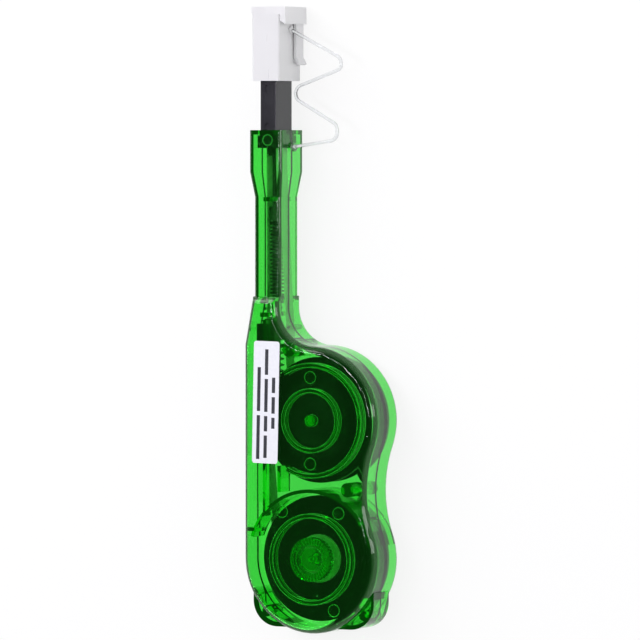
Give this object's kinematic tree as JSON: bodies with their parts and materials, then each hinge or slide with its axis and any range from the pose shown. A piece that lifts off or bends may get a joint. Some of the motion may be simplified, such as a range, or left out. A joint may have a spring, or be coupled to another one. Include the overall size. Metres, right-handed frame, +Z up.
{
  "type": "fibre connector cleaning pen",
  "caption": "Push-type cleaning pen for multi-fibre connectors: clear green reel case, long neck, black spring-loaded nose, capped and tethered, with a rack-driven tape drive inside.",
  "frame": {"origin": "on the flat rear face of the case, midway between the two reel axles", "axes": "+X across the case, away from the neck's side; +Y along the pen towards the nose; +Z up through the front cover; the pen lies on its rear cover"},
  "size_m": [0.054, 0.2275, 0.0201],
  "materials": {
    "case_green": "clear green moulded plastic, glossy",
    "black_plastic": "black moulded plastic, satin",
    "reel_black": "black moulded plastic, semi-gloss",
    "clutch_white": "natural white acetal",
    "spring_steel": "spring steel wire",
    "steel": "ground steel pin",
    "cap_milky": "milky translucent polypropylene",
    "strap_clear": "clear flexible plastic",
    "tape_white": "woven microfibre cleaning tape",
    "label_white": "white coated sticker",
    "head_grey": "dark grey moulded plastic"
  },
  "bodies": {
    "case": {"rear_cover": "case_green", "front_cover": "case_green", "label": "label_white", "tape_guide_pin": "steel", "roller_pin": "steel", "return_spring": "spring_steel", "tape_run": "tape_white", "cap_tether": "strap_clear"},
    "nose": {"guide_nose": "black_plastic", "nose_pins": "black_plastic", "head_carrier": "black_plastic", "push_rod": "steel", "spring_seat": "black_plastic", "rod_block": "case_green", "rack_slider": "black_plastic", "head_spring": "spring_steel"},
    "head": {"cleaning_head": "head_grey"},
    "cap": {"guide_cap": "cap_milky"},
    "lid": {"cap_lid": "cap_milky"},
    "gear": {"drive_gear": "reel_black", "ratchet_pawls": "clutch_white"},
    "takeup": {"takeup_reel": "reel_black", "takeup_flange": "reel_black", "takeup_tape": "tape_white"},
    "supply": {"supply_reel": "reel_black", "supply_flange": "reel_black", "supply_tape": "tape_white", "supply_detent": "clutch_white"},
    "roller": {"tape_roller": "clutch_white"}
  },
  "joints": [
    {"name": "nose_slide", "type": "slide", "parent": "case", "child": "nose", "axis": [0, 1, 0], "range_m": [-0.014, 0], "stiffness_N_per_m": 300, "deforming": ["return_spring", "tape_run", "cap_tether"]},
    {"name": "head_slide", "type": "slide", "parent": "nose", "child": "head", "axis": [0, 1, 0], "range_m": [-0.0015, 0], "stiffness_N_per_m": 400, "deforming": ["head_spring", "tape_run"]},
    {"name": "cap_pull", "type": "slide", "parent": "nose", "child": "cap", "axis": [0, 1, 0], "range_m": [0, 0.03], "deforming": ["cap_tether"]},
    {"name": "lid_flip", "type": "hinge", "parent": "cap", "child": "lid", "pos_m": [-0.0233, 0.1732, 0.01], "axis": [0, 0, 1], "range_deg": [0, 85]},
    {"name": "gear_turn", "type": "hinge", "parent": "case", "child": "gear", "pos_m": [0, 0.0252, 0.013], "axis": [0, 0, 1], "range_deg": [0, 55]},
    {"name": "takeup_turn", "type": "hinge", "parent": "case", "child": "takeup", "pos_m": [0, 0.0252, 0.006], "axis": [0, 0, 1], "continuous": true},
    {"name": "supply_turn", "type": "hinge", "parent": "case", "child": "supply", "pos_m": [0, -0.0252, 0.006], "axis": [0, 0, 1], "continuous": true},
    {"name": "roller_turn", "type": "hinge", "parent": "case", "child": "roller", "pos_m": [-0.014, 0.058, 0.006], "axis": [0, 0, 1], "continuous": true}
  ],
  "couplings": [
    {"joint": "gear_turn", "follows": "nose_slide", "rad_per_m": -68.027},
    {"joint": "supply_turn", "follows": "takeup_turn", "ratio": -0.63158},
    {"joint": "roller_turn", "follows": "takeup_turn", "ratio": 10.909}
  ]
}
